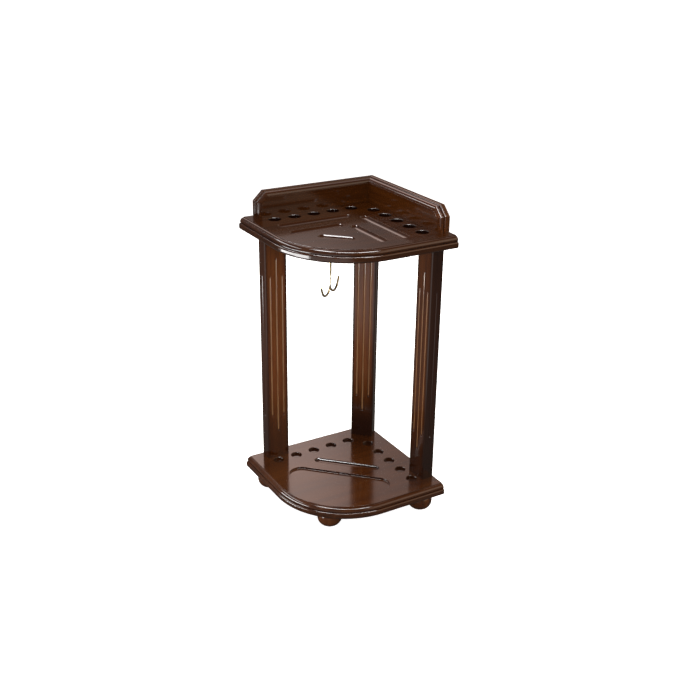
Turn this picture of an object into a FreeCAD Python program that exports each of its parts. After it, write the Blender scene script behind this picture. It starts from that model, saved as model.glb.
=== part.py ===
import FreeCAD, Part
import math
import os
from FreeCAD import Vector

# Floor-standing corner cue rack, in millimetres.
# The rear corner of the rack is at +X +Y. Its two wall sides run back from the
# corner along X and Y, the floor is Z = 0, and the origin is in the middle below.

# ---- Driving dimensions ----
wall_side = 432.0
board_thickness = 34.0
foot_height = 55.0
foot_radius = 35.5
pad_thickness = 2.0
pad_radius = 15.0
post_length = 719.0
post_width = 69.0
post_depth = 38.5
post_chamfer = 2.5

# shelf outline, measured from the rear corner
arc_centre = 212.0
moulding_depth = 14.0

# gallery boards round the back of the top shelf
gallery_height = 70.5
gallery_end_inset = 41.0
gallery_clip_along = 28.0
gallery_clip_down = 27.0

# posts
side_post_from_corner = 342.5
post_from_wall = 4.7
rear_post_from_corner = 38.0
flute_width = 6.4
flute_depth = 2.3
flute_pitch = 19.0
middle_flute_stop = 88.0
outer_flute_stop = 139.0

# cue places, the same on both shelves
cues_per_wall = 5
cue_row_from_wall = 64.0
first_cue_from_corner = 110.0
cue_pitch = 61.0
cue_hole_diameter = 34.0
cue_rim_radius = 2.6
cue_cup_diameter = 30.0
cue_cup_depth = 7.0

# coved ball grooves in the top shelf
groove_width = 27.0
groove_depth = 6.5
long_groove_from_wall = 127.0
long_groove_start = 149.0
middle_groove_from_wall = 196.0
middle_groove_start = 214.0
groove_finish = 377.0
front_groove_from_corner = 407.0
front_groove_length = 101.0

# coved groove and flat tray in the bottom shelf
chalk_groove_from_corner = 265.0
chalk_groove_length = 200.0
tray_from_corner = 353.0
tray_length = 302.0
tray_width = 71.0
tray_depth = 6.0
tray_floor_radius = 2.0
rim_round = 0.8
wall_break = 1.0

# feet
side_foot_along = 378.0
side_foot_from_wall = 49.0
front_foot_from_walls = 324.0
rear_foot_from_walls = 52.0

# swivel double hook under the top shelf
hook_from_walls = 331.0
hook_plane_angle = 35.0
flange_radius = 12.0
flange_thickness = 3.0
sleeve_radius = 3.9
sleeve_length = 47.5
sleeve_wall = 0.9
sleeve_lip = 3.0
stem_radius = 2.0
stem_head_radius = 2.8
stem_head_height = 3.0
hook_bend_radius = 24.0
hook_bend_height = 73.5
hook_arm_radius = 3.1
hook_tip_angle = 65.0
hook_tip_run = 16.0

# fasteners
fit_gap = 0.05
running_gap = 0.05
post_dowel_radius = 5.0
post_dowel_length = 40.0
screw_radius = 2.2
screw_head_radius = 4.4
post_screw_length = 70.0
post_screw_spacing = 40.0
gallery_screw_length = 62.0
gallery_screw_places = (98.0, 194.0, 290.0)
mitre_dowel_radius = 4.0
mitre_dowel_length = 24.0
mitre_dowel_heights = (16.0, 38.0)
mitre_dowel_from_walls = 15.0
hanger_radius = 4.0
hanger_length = 56.0
insert_radius = 6.5
insert_length = 22.0

# ---- Levels ----
half_side = wall_side / 2
shelf_floor_z = foot_height
lower_top_z = foot_height + board_thickness
upper_under_z = lower_top_z + post_length
upper_top_z = upper_under_z + board_thickness
gallery_top_z = upper_top_z + gallery_height
arc_radius = wall_side - arc_centre
beyond = 700.0
up = Vector(0, 0, 1)


# ---- Helpers ----
def at(u, v, z):
    """A point from its distances u and v to the side wall and the back wall."""
    return Vector(half_side - u, half_side - v, z)


def on_diagonal(from_corner, aside, z):
    """A point at a distance from the rear corner along the diagonal, and aside of it."""
    root = math.sqrt(2)
    return at((from_corner + aside) / root, (from_corner - aside) / root, z)


def solid_of(shape):
    """The single solid in a boolean result, with its faces merged."""
    clean = shape.removeSplitter()
    if len(clean.Solids) != 1:
        raise ValueError("expected one solid, found %d" % len(clean.Solids))
    return clean.Solids[0]


def turned(profile, centre):
    """A solid of revolution about the vertical through centre. The profile gives radius and height."""
    points = [centre + Vector(radius, 0, height) for radius, height in profile]
    wire = Part.makePolygon(points + [points[0]])
    return Part.Face(wire).revolve(centre, up, 360)


def round_bar(start, finish, radius, domed_radius=None):
    """A round bar between two points. With domed_radius it has ball ends."""
    run = finish - start
    bar = Part.makeCylinder(radius, run.Length, start, run)
    if domed_radius:
        bar = bar.fuse([Part.makeSphere(domed_radius, start), Part.makeSphere(domed_radius, finish)])
    return bar


def mirrored(shape):
    """The same shape reflected across the diagonal through the rear corner."""
    return shape.mirror(Vector(0, 0, 0), Vector(1, -1, 0))


def moulding_edges(point):
    """The moulded edge as a chain of edges from the face down to the underside.

    point(out, depth) places a point that stands out from the moulding's inner limit and
    lies at a depth below the face. From the face down: a small step, an ovolo, a sunk
    quirk and a full bead.
    """
    def line(a, b):
        return Part.LineSegment(point(*a), point(*b)).toShape()

    def arc(a, b, c):
        return Part.Arc(point(*a), point(*b), point(*c)).toShape()

    out = moulding_depth
    under = board_thickness
    return [
        arc((-0.6, 0), (-0.18, 0.18), (0, 0.6)),
        line((0, 0.6), (0, 2.0)),
        line((0, 2.0), (1.0, 2.0)),
        arc((1.0, 2.0), (7.6, 5.4), (out - 3.5, 13.4)),
        line((out - 3.5, 13.4), (out - 5.2, 14.0)),
        line((out - 5.2, 14.0), (out - 5.2, 15.6)),
        line((out - 5.2, 15.6), (out - 4.0, 15.8)),
        arc((out - 4.0, 15.8), (out - 1.0, 17.8), (out, 21.5)),
        line((out, 21.5), (out, 27.5)),
        arc((out, 27.5), (out - 1.3, 31.6), (out - 4.6, under)),
    ]


def moulded_section(point, reach):
    """A face of the board's section: moulded on one side, and running back by reach."""
    edges = moulding_edges(point)
    under_out = moulding_depth - 4.6
    corners = [point(under_out, board_thickness), point(-reach, board_thickness)]
    corners += [point(-reach, 0), point(-0.6, 0)]
    for first, second in zip(corners, corners[1:]):
        edges.append(Part.LineSegment(first, second).toShape())
    return Part.Face(Part.Wire(Part.__sortEdges__(edges)))


# ---- Shelves ----
def shelf_blank(top_z):
    """A square board with its front corner rounded off, and its front edge moulded."""
    strip = 1.0
    inner = arc_radius - moulding_depth
    plain = inner - strip
    under_z = top_z - board_thickness

    def facing_left(out, depth):
        return at(arc_centre + inner + out, 0, top_z - depth)

    def facing_front(out, depth):
        return at(0, arc_centre + inner + out, top_z - depth)

    def round_corner(out, depth):
        return at(arc_centre + inner + out, arc_centre, top_z - depth)

    def straight(a, b):
        return Part.LineSegment(at(*a, under_z), at(*b, under_z)).toShape()

    far = arc_centre + plain
    bend = arc_centre + plain * math.sqrt(0.5)
    bend_points = [at(far, arc_centre, under_z), at(bend, bend, under_z), at(arc_centre, far, under_z)]
    outline = Part.Wire([
        straight((0, 0), (far, 0)),
        straight((far, 0), (far, arc_centre)),
        Part.Arc(*bend_points).toShape(),
        straight((arc_centre, far), (0, far)),
        straight((0, far), (0, 0)),
    ])
    plate = Part.Face(outline).extrude(Vector(0, 0, board_thickness))
    left_end = moulded_section(facing_left, strip).extrude(Vector(0, -arc_centre, 0))
    right_end = moulded_section(facing_front, strip).extrude(Vector(-arc_centre, 0, 0))
    corner = moulded_section(round_corner, strip).revolve(at(arc_centre, arc_centre, top_z), up, 90)
    return solid_of(plate.fuse([left_end, right_end, corner]))


def soften_wall_edges(shelf, top_z):
    """Break the long arrises along the two wall sides."""
    under_z = top_z - board_thickness
    wedges = []
    for z, inward in ((top_z, -wall_break), (under_z, wall_break)):
        corners = [at(0, -1, z + inward), at(0, 0, z + inward), at(0, wall_break, z)]
        corners += [at(0, wall_break, z - inward), at(0, -1, z - inward)]
        section = Part.Face(Part.makePolygon(corners + [corners[0]]))
        section.translate(Vector(1, 0, 0))
        wedge = section.extrude(Vector(-wall_side - 2, 0, 0))
        wedges += [wedge, mirrored(wedge)]
    return solid_of(shelf.cut(wedges))


def cue_places(z):
    """The centres of the ten cue places: five along each wall."""
    places = []
    for number in range(cues_per_wall):
        along = first_cue_from_corner + number * cue_pitch
        places.append(at(along, cue_row_from_wall, z))
        places.append(at(cue_row_from_wall, along, z))
    return places


def cue_cutter(centre, diameter, depth, through):
    """The cutter for one cue place, with a rounded rim at the face where centre lies.

    A hole that goes through also has a small chamfer round its lower rim.
    """
    radius = diameter / 2
    rim = cue_rim_radius
    outline = [(0, -depth), (radius, -depth)]
    for step in range(7):
        angle = math.radians(90 * step / 6)
        outline.append((radius + rim * (1 - math.cos(angle)), -rim + rim * math.sin(angle)))
    outline += [(radius + rim, 5.0), (0, 5.0)]
    cutter = turned(outline, centre)
    if through:
        low_rim = [(0, -depth), (radius + 1, -depth), (radius, 1 - depth), (0, 1 - depth)]
        cutter = cutter.fuse(turned(low_rim, centre))
    return cutter


def cove_cutter(start, finish):
    """A round-bottomed groove between the outer ends of its mouth, cut with a domed cutter."""
    half = groove_width / 2
    radius = (half ** 2 + groove_depth ** 2) / (2 * groove_depth)
    lift = Vector(0, 0, radius - groove_depth)
    run = (finish - start).normalize()
    return round_bar(start + run * half + lift, finish - run * half + lift, radius, radius)


def top_grooves():
    """Cutters for the five ball grooves: two along each wall, and one across the front."""
    z = upper_top_z
    cutters = []
    for from_wall, begin in (
        (long_groove_from_wall, long_groove_start),
        (middle_groove_from_wall, middle_groove_start),
    ):
        cutters.append(cove_cutter(at(begin, from_wall, z), at(groove_finish, from_wall, z)))
        cutters.append(cove_cutter(at(from_wall, begin, z), at(from_wall, groove_finish, z)))
    half = front_groove_length / 2
    first = on_diagonal(front_groove_from_corner, -half, z)
    last = on_diagonal(front_groove_from_corner, half, z)
    cutters.append(cove_cutter(first, last))
    return cutters


def tray_cutter():
    """The flat tray across the bottom shelf: a long slot with full round ends."""
    radius = tray_width / 2
    half = tray_length / 2 - radius
    z = lower_top_z - tray_depth
    centre = on_diagonal(tray_from_corner, 0, z)
    height = tray_depth + 10
    slot = Part.makeBox(2 * half, tray_width, height, Vector(-half, -radius, 0))
    ends = [Part.makeCylinder(radius, height, Vector(side * half, 0, 0)) for side in (-1, 1)]
    slot = solid_of(slot.fuse(ends))
    floor_edges = [edge for edge in slot.Edges if edge.BoundBox.ZMax < 0.01]
    slot = slot.makeFillet(tray_floor_radius, floor_edges)
    slot.rotate(Vector(0, 0, 0), up, -45)
    slot.translate(centre)
    return slot


def soften_rims(shelf, z):
    """Round the rims of the grooves and the tray where they meet the shelf's face."""
    nearest_wall = 40.0
    farthest = wall_side - 40.0
    chosen = []
    for edge in shelf.Edges:
        box = edge.BoundBox
        on_face = abs(box.ZMin - z) < 0.01 and abs(box.ZMax - z) < 0.01
        middle = edge.CenterOfMass
        from_walls = (half_side - middle.x, half_side - middle.y)
        inside = min(from_walls) > nearest_wall and max(from_walls) < farthest
        if not (on_face and inside):
            continue
        front_bend = hasattr(edge.Curve, "Radius") and edge.Curve.Radius > tray_width
        if not front_bend:
            chosen.append(edge)
    return shelf.makeFillet(rim_round, chosen)


# ---- Fastener cutters and solids ----
def screw_outline(length, gap):
    """Half of a countersunk screw's outline, as radius and height, tip upwards."""
    shank = screw_radius + gap
    head = screw_head_radius + gap
    rim = 0.5 + gap
    taper = rim + head - shank
    tip = [(shank, length - 6), (0.3, length)] if gap == 0 else [(shank, length + gap)]
    return [(head, rim), (shank, taper)] + tip


def pointing(shape, direction, place):
    """Turn a shape that points up so that it points up or down, and put it in place."""
    if direction < 0:
        shape.rotate(Vector(0, 0, 0), Vector(1, 0, 0), 180)
    shape.translate(place)
    return shape


def countersunk_screw(direction, head_face, length):
    """A countersunk wood screw with a cross recess, its head face at head_face."""
    outline = screw_outline(length, 0)
    ring = [(0, 0), (screw_head_radius, 0)] + outline + [(0, length)]
    screw = turned(ring, Vector(0, 0, 0))
    for angle in (0, 90):
        bar = Part.makeBox(4.6, 1.1, 2.4, Vector(-2.3, -0.55, -0.4))
        bar.rotate(Vector(0, 0, 0), up, angle)
        screw = screw.cut(bar)
    return pointing(screw, direction, head_face).Solids[0]


def screw_hole(direction, head_face, length):
    """The hole that a countersunk screw fills, with a small gap all round."""
    outline = screw_outline(length, fit_gap)
    ring = [(0, -1), (screw_head_radius + fit_gap, -1)] + outline + [(0, length + fit_gap)]
    return pointing(turned(ring, Vector(0, 0, 0)), direction, head_face)


def dowel(centre, axis, radius, length):
    """A wooden dowel with chamfered ends."""
    pin = Part.makeCylinder(radius, length, centre - axis * (length / 2), axis)
    return pin.makeChamfer(0.8, [edge for edge in pin.Edges if hasattr(edge.Curve, "Radius")])


def dowel_hole(centre, axis, radius, length):
    """The hole for a dowel, a little wider and deeper than the dowel."""
    reach = length + 2
    return Part.makeCylinder(radius + fit_gap, reach, centre - axis * (reach / 2), axis)


# ---- Posts ----
post_frames = {
    "left_post": (at(side_post_from_corner, post_from_wall + post_depth / 2, lower_top_z), 0),
    "right_post": (at(post_from_wall + post_depth / 2, side_post_from_corner, lower_top_z), -90),
    "rear_post": (on_diagonal(rear_post_from_corner + post_depth / 2, 0, lower_top_z), -45),
}


def post_point(name, across, z):
    """A point on a post's centre plane, across its width, at a height."""
    centre, angle = post_frames[name]
    turn = math.radians(angle)
    return Vector(centre.x + across * math.cos(turn), centre.y + across * math.sin(turn), z)


def flute_cutter(mouth, outward, stop):
    """A stopped flute with domed ends, its mouth on the face that looks outward."""
    radius = ((flute_width / 2) ** 2 + flute_depth ** 2) / (2 * flute_depth)
    line = mouth + outward * (radius - flute_depth)
    return round_bar(line + up * stop, line + up * (post_length - stop), radius, radius)


def plain_post():
    """A post standing on the origin, its wide fluted face towards -Y."""
    corner = Vector(-post_width / 2, -post_depth / 2, 0)
    blank = Part.makeBox(post_width, post_depth, post_length, corner)
    upright = [edge for edge in blank.Edges if edge.BoundBox.ZLength > post_length - 1]
    blank = blank.makeChamfer(post_chamfer, upright)
    front = Vector(0, -post_depth / 2, 0)
    cutters = [flute_cutter(front, Vector(0, -1, 0), middle_flute_stop)]
    for side in (-1, 1):
        sideways = Vector(side, 0, 0)
        cutters.append(flute_cutter(front + sideways * flute_pitch, Vector(0, -1, 0), outer_flute_stop))
        cutters.append(flute_cutter(sideways * (post_width / 2), sideways, outer_flute_stop))
    return blank.cut(cutters)


def make_post(name, cutters):
    """One post, put in its place and drilled for its fasteners."""
    centre, angle = post_frames[name]
    post = plain_post()
    post.rotate(Vector(0, 0, 0), up, angle)
    post.translate(centre)
    return solid_of(post.cut(cutters))


# ---- Gallery ----
def gallery_board():
    """The board along the back wall, mitred at the corner, with its moulding carried round the end."""
    end = wall_side - gallery_end_inset
    slope = math.atan2(gallery_clip_down, gallery_clip_along)

    def face_prism(corner, outward, along):
        def point(out, depth):
            spot = corner + outward * (out - moulding_depth)
            return Vector(spot.x, half_side - board_thickness + depth, spot.z)
        section = moulded_section(point, beyond)
        prism = section.extrude(along * (2 * beyond))
        prism.translate(along * (-beyond))
        return prism

    top = face_prism(at(0, 0, gallery_top_z), Vector(0, 0, 1), Vector(1, 0, 0))
    finish = face_prism(at(end, 0, gallery_top_z), Vector(-1, 0, 0), Vector(0, 0, 1))
    clip_normal = Vector(-math.sin(slope), 0, math.cos(slope))
    clip_along = Vector(math.cos(slope), 0, math.sin(slope))
    clip = face_prism(at(end, 0, gallery_top_z - gallery_clip_down), clip_normal, clip_along)
    board = top.common(finish).common(clip)
    z = upper_top_z
    thick = board_thickness
    mitre = [at(0, 0, z), at(wall_side, 0, z), at(wall_side, thick, z), at(thick, thick, z)]
    block = Part.Face(Part.makePolygon(mitre + [mitre[0]])).extrude(Vector(0, 0, gallery_height))
    return solid_of(board.common(block))


# ---- Feet ----
foot_places = {
    "left_foot": at(side_foot_along, side_foot_from_wall, 0),
    "right_foot": at(side_foot_from_wall, side_foot_along, 0),
    "front_foot": at(front_foot_from_walls, front_foot_from_walls, 0),
    "rear_foot": at(rear_foot_from_walls, rear_foot_from_walls, 0),
}


def bun_foot(centre):
    """A turned bun foot, with a short neck under the shelf and a flat for its pad."""
    base = pad_thickness
    neck_z = foot_height - 4.0
    middle_z = base + (neck_z - base) * 0.5

    def point(radius, z):
        return centre + Vector(radius, 0, z)

    edges = [
        Part.LineSegment(point(0, base), point(19.0, base)).toShape(),
        Part.Arc(point(19.0, base), point(30.6, base + 8.4), point(foot_radius, middle_z)).toShape(),
        Part.Arc(point(foot_radius, middle_z), point(31.4, neck_z - 8.0), point(22.0, neck_z)).toShape(),
        Part.LineSegment(point(22.0, neck_z), point(24.0, neck_z + 0.6)).toShape(),
        Part.LineSegment(point(24.0, neck_z + 0.6), point(24.0, foot_height)).toShape(),
        Part.LineSegment(point(24.0, foot_height), point(0, foot_height)).toShape(),
        Part.LineSegment(point(0, foot_height), point(0, base)).toShape(),
    ]
    body = Part.Face(Part.Wire(edges)).revolve(centre, up, 360)
    drilled = centre + Vector(0, 0, foot_height - hanger_length / 2 - 1)
    hole = Part.makeCylinder(hanger_radius + fit_gap, hanger_length, drilled)
    return solid_of(body.cut(hole))


def hanger_bolt(centre):
    """A double-ended bolt: one half in the foot, one half in the shelf's insert nut."""
    low = foot_height - hanger_length / 2
    high = low + hanger_length - 8
    ring = [(0, low), (1.5, low), (hanger_radius, low + 5)]
    ring += [(hanger_radius, high - 1), (hanger_radius - 1, high), (0, high)]
    return turned(ring, centre).Solids[0]


def insert_nut(centre):
    """A flanged insert nut let into the underside of the bottom shelf."""
    low = foot_height
    high = low + insert_length
    bore = hanger_radius + fit_gap
    ring = [(bore, low), (insert_radius + 2, low), (insert_radius + 2, low + 1.5)]
    ring += [(insert_radius, low + 1.5), (insert_radius, high - 1), (insert_radius - 1, high), (bore, high)]
    return turned(ring, centre).Solids[0]


def insert_hole(centre):
    """The stepped hole for an insert nut."""
    low = foot_height
    outer = insert_radius + 2 + fit_gap
    inner = insert_radius + fit_gap
    ring = [(0, low - 1), (outer, low - 1), (outer, low + 1.5 + fit_gap), (inner, low + 1.5 + fit_gap)]
    ring += [(inner, low + insert_length + 1), (0, low + insert_length + 1)]
    return turned(ring, centre)


def foot_pad(centre):
    """A round felt pad under a foot."""
    return Part.makeCylinder(pad_radius, pad_thickness, centre)


# ---- Hook ----
hook_top = at(hook_from_walls, hook_from_walls, upper_under_z)


def hook_flange():
    """The rosette between the hook's sleeve and the shelf."""
    bore = sleeve_radius + fit_gap
    rim = flange_thickness
    ring = [(bore, 0), (flange_radius, 0), (flange_radius, -1.0), (flange_radius - 1.0, -1.6)]
    ring += [(sleeve_radius + 3.0, -rim), (bore, -rim)]
    return turned(ring, hook_top).Solids[0]


def hook_sleeve():
    """The tube that hangs from the shelf and carries the hook's head on an inner lip."""
    outer = sleeve_radius
    inner = outer - sleeve_wall
    lip = stem_radius + running_gap
    end = -sleeve_length
    ring = [(inner, 0), (outer, 0), (outer, end + 0.8), (outer - 0.8, end), (lip, end)]
    ring += [(lip, end + sleeve_lip), (inner, end + sleeve_lip)]
    return turned(ring, hook_top).Solids[0]


def hook_wood_screw():
    """The screw that holds the sleeve: a plug inside the sleeve, and a wood thread in the shelf."""
    plug = sleeve_radius - sleeve_wall - fit_gap
    ring = [(0, -12.0), (plug, -12.0), (plug, 0), (2.4, 0.6), (2.4, 20.0), (0.4, 25.0), (0, 25.0)]
    return turned(ring, hook_top).Solids[0]


def hook_screw_hole():
    """The pilot hole in the top shelf for the hook's screw."""
    inner = sleeve_radius - sleeve_wall
    ring = [(0, -1), (inner, -1), (inner, 0.3), (2.4 + fit_gap, 0.9), (2.4 + fit_gap, 25.5), (0, 25.5)]
    return turned(ring, hook_top)


def double_hook():
    """The swivelling double hook: a headed stem and two bent arms."""
    lift = sleeve_lip - sleeve_length + running_gap
    bend = hook_bend_radius
    turn_z = -hook_bend_height
    head_top = lift + stem_head_height
    ring = [(0, turn_z), (stem_radius, turn_z), (stem_radius, lift), (stem_head_radius, lift)]
    ring += [(stem_head_radius, head_top - 0.6), (stem_head_radius - 0.6, head_top), (0, head_top)]
    hook = turned(ring, hook_top)
    tilt = math.radians(hook_tip_angle)
    for side in (0, 180):
        turn = math.radians(180 + hook_plane_angle + side)
        away = Vector(math.cos(turn), math.sin(turn), 0)

        def spot(out, z):
            return hook_top + away * out + up * z

        def on_bend(angle):
            return spot(bend - bend * math.cos(angle), turn_z - bend * math.sin(angle))

        last = on_bend(math.pi / 2 + tilt)
        heading = (away * math.cos(tilt) + up * math.sin(tilt)).normalize()
        tip = last + heading * hook_tip_run
        arc = Part.Arc(on_bend(0), on_bend((math.pi / 2 + tilt) / 2), last).toShape()
        straight = Part.LineSegment(last, tip).toShape()
        path = Part.Wire([arc, straight])
        thin = Part.Wire(Part.makeCircle(stem_radius, on_bend(0), up))
        thick = Part.Wire(Part.makeCircle(hook_arm_radius, on_bend(math.pi / 2), away))
        final = Part.Wire(Part.makeCircle(hook_arm_radius - 0.3, tip, heading))
        arm = path.makePipeShell([thin, thick, final], True, False)
        end_ball = Part.makeSphere(hook_arm_radius - 0.3, tip)
        hook = hook.fuse([arm, end_ball])
    return solid_of(hook)


# ---- Assembly ----
def write(name, solids):
    """Check the closed solids of one node, and write them to its file."""
    for solid in solids:
        if not solid.isValid() or not solid.isClosed():
            raise ValueError(name + " has a bad solid")
    shape = solids[0] if len(solids) == 1 else Part.makeCompound(solids)
    shape.exportStep("parts/" + name + ".step")
    print(name, len(solids), round(sum(solid.Volume for solid in solids) / 1000, 2), "cm3")


def post_ends(name):
    """The fasteners at both ends of one post, as lists of places keyed by kind."""
    half = post_screw_spacing / 2
    return {
        "upper_post_dowels": [post_point(name, 0, upper_under_z)],
        "lower_post_dowels": [post_point(name, 0, lower_top_z)],
        "upper_post_screws": [post_point(name, side * half, upper_top_z) for side in (-1, 1)],
        "lower_post_screws": [post_point(name, side * half, shelf_floor_z) for side in (-1, 1)],
    }


def fastener(kind, place, hole):
    """One dowel or screw of a post joint, or the hole for it."""
    if "dowels" in kind:
        make = dowel_hole if hole else dowel
        return make(place, up, post_dowel_radius, post_dowel_length)
    make = screw_hole if hole else countersunk_screw
    direction = -1 if kind.startswith("upper") else 1
    return make(direction, place, post_screw_length)


def holes(ends, level):
    """The holes for all the fasteners of the given post ends at one level."""
    cutters = []
    for kind, places in ends.items():
        if kind.startswith(level):
            cutters += [fastener(kind, place, True) for place in places]
    return cutters


def make_gallery():
    """Both gallery boards, drilled, with their screws and the dowels across the mitre."""
    heads = []
    for along in gallery_screw_places:
        heads.append(at(along, board_thickness / 2, upper_under_z))
        heads.append(at(board_thickness / 2, along, upper_under_z))
    across = Vector(1, -1, 0).normalize()
    inward = mitre_dowel_from_walls
    pins = [at(inward, inward, upper_top_z + height) for height in mitre_dowel_heights]
    screw_cuts = [screw_hole(1, head, gallery_screw_length) for head in heads]
    pin_cuts = [dowel_hole(pin, across, mitre_dowel_radius, mitre_dowel_length) for pin in pins]
    board = gallery_board()
    write("left_gallery_board", [solid_of(board.cut(screw_cuts + pin_cuts))])
    write("right_gallery_board", [solid_of(mirrored(board).cut(screw_cuts + pin_cuts))])
    write("gallery_screws", [countersunk_screw(1, head, gallery_screw_length) for head in heads])
    dowels = [dowel(pin, across, mitre_dowel_radius, mitre_dowel_length) for pin in pins]
    write("gallery_mitre_dowels", dowels)
    return screw_cuts


def make_top_shelf(cutters):
    """The top shelf: ball grooves, cue holes and the holes for its fasteners."""
    shelf = soften_wall_edges(shelf_blank(upper_top_z), upper_top_z)
    shelf = soften_rims(solid_of(shelf.cut(top_grooves())), upper_top_z)
    places = cue_places(upper_top_z)
    cue_holes = [cue_cutter(place, cue_hole_diameter, board_thickness, True) for place in places]
    write("top_shelf", [solid_of(shelf.cut(cue_holes + cutters + [hook_screw_hole()]))])


def make_bottom_shelf(cutters):
    """The bottom shelf: a coved groove, a flat tray, cue cups and fastener holes."""
    shelf = soften_wall_edges(shelf_blank(lower_top_z), lower_top_z)
    half = chalk_groove_length / 2
    start = on_diagonal(chalk_groove_from_corner, -half, lower_top_z)
    finish = on_diagonal(chalk_groove_from_corner, half, lower_top_z)
    shelf = solid_of(shelf.cut([cove_cutter(start, finish), tray_cutter()]))
    shelf = soften_rims(shelf, lower_top_z)
    places = cue_places(lower_top_z)
    cups = [cue_cutter(place, cue_cup_diameter, cue_cup_depth, False) for place in places]
    nuts = [insert_hole(place) for place in foot_places.values()]
    write("bottom_shelf", [solid_of(shelf.cut(cups + cutters + nuts))])


def main():
    os.makedirs("parts", exist_ok=True)
    gallery_cuts = make_gallery()
    places_of = {}
    upper_cuts = []
    lower_cuts = []
    for name in post_frames:
        ends = post_ends(name)
        for kind, places in ends.items():
            places_of.setdefault(kind, []).extend(places)
        upper = holes(ends, "upper")
        lower = holes(ends, "lower")
        upper_cuts += upper
        lower_cuts += lower
        write(name, [make_post(name, upper + lower)])
    for kind, places in places_of.items():
        write(kind, [fastener(kind, place, False) for place in places])
    make_top_shelf(upper_cuts + gallery_cuts)
    make_bottom_shelf(lower_cuts)
    for name, place in foot_places.items():
        write(name, [bun_foot(place)])
    feet = list(foot_places.values())
    write("foot_hanger_bolts", [hanger_bolt(place) for place in feet])
    write("foot_insert_nuts", [insert_nut(place) for place in feet])
    write("foot_pads", [foot_pad(place) for place in feet])
    write("hook_flange", [hook_flange()])
    write("hook_sleeve", [hook_sleeve()])
    write("hook_wood_screw", [hook_wood_screw()])
    write("double_hook", [double_hook()])


main()
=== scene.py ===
import math

import bmesh
import bpy
from mathutils import Matrix, Vector, noise


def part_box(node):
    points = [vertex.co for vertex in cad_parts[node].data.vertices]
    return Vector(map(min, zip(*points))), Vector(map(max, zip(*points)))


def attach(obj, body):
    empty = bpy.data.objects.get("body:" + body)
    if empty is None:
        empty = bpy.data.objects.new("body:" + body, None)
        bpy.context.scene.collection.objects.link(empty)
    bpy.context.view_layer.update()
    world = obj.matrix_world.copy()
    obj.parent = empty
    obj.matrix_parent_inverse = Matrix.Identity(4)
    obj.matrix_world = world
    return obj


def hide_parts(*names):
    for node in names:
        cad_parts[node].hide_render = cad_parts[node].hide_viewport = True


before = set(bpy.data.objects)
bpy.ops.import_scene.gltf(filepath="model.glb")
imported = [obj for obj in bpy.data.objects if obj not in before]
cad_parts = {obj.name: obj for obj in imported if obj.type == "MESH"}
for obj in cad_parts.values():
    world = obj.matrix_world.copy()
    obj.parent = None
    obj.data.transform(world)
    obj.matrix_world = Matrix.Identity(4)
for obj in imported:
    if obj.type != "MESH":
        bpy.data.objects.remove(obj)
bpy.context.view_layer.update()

bl_info = {
    "name": "Corner Cue Rack",
    "version": (1, 0, 0),
    "blender": (4, 5, 0),
    "location": "3D View > Sidebar > Cue Rack",
    "description": "Finishes a corner cue rack in chestnut lacquer, brass and felt",
    "category": "Object",
}

MM = 0.001
SIDE_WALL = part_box("top_shelf")[1].x
BACK_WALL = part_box("top_shelf")[1].y

# Painted shade in the cue holes and cups.
CUE_PLACE_SHADE = (0.004, 0.0012, 0.0008, 1)
# Painted shade in the front recesses and grooves.
RECESS_SHADE = (0.006, 0.0018, 0.001, 1)
# Painted shade in the quirk of a moulding.
QUIRK_SHADE = (0.005, 0.0015, 0.001, 1)
# Painted shade on the edges and narrow faces of a post.
EDGE_SHADE = (0.010, 0.0030, 0.0018, 1)
# Painted shade at the lower end of a post.
LOW_END_SHADE = (0.012, 0.0035, 0.0016, 1)
# Painted highlight down the flutes of a post.
FLUTE_HIGHLIGHT = (0.40, 0.215, 0.100, 1)

# Distances from a shelf's top, and from the wall to a gallery board's quirk.
SHELF_QUIRK = (0.0138, 0.0158)
BOARD_QUIRK = (0.0183, 0.0200)

FLOOR_REACH = 30.0
SHELL_REACH = 28.0
CARD_DROP = 0.002


# ---- Shader nodes written as sums ----

class Signal:
    """A socket of a finish that takes part in Python sums."""

    def __init__(self, finish, socket):
        self.finish = finish
        self.socket = socket

    def _sum(self, operation, first, second):
        inputs = {0: first, 1: second}
        return self.finish.node("ShaderNodeMath", {"operation": operation}, inputs)

    def __add__(self, other):
        return self._sum("ADD", self, other)

    def __radd__(self, other):
        return self._sum("ADD", other, self)

    def __sub__(self, other):
        return self._sum("SUBTRACT", self, other)

    def __rsub__(self, other):
        return self._sum("SUBTRACT", other, self)

    def __mul__(self, other):
        return self._sum("MULTIPLY", self, other)

    def __rmul__(self, other):
        return self._sum("MULTIPLY", other, self)

    def __truediv__(self, other):
        return self._sum("DIVIDE", self, other)

    def __pow__(self, other):
        return self._sum("POWER", self, other)


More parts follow.
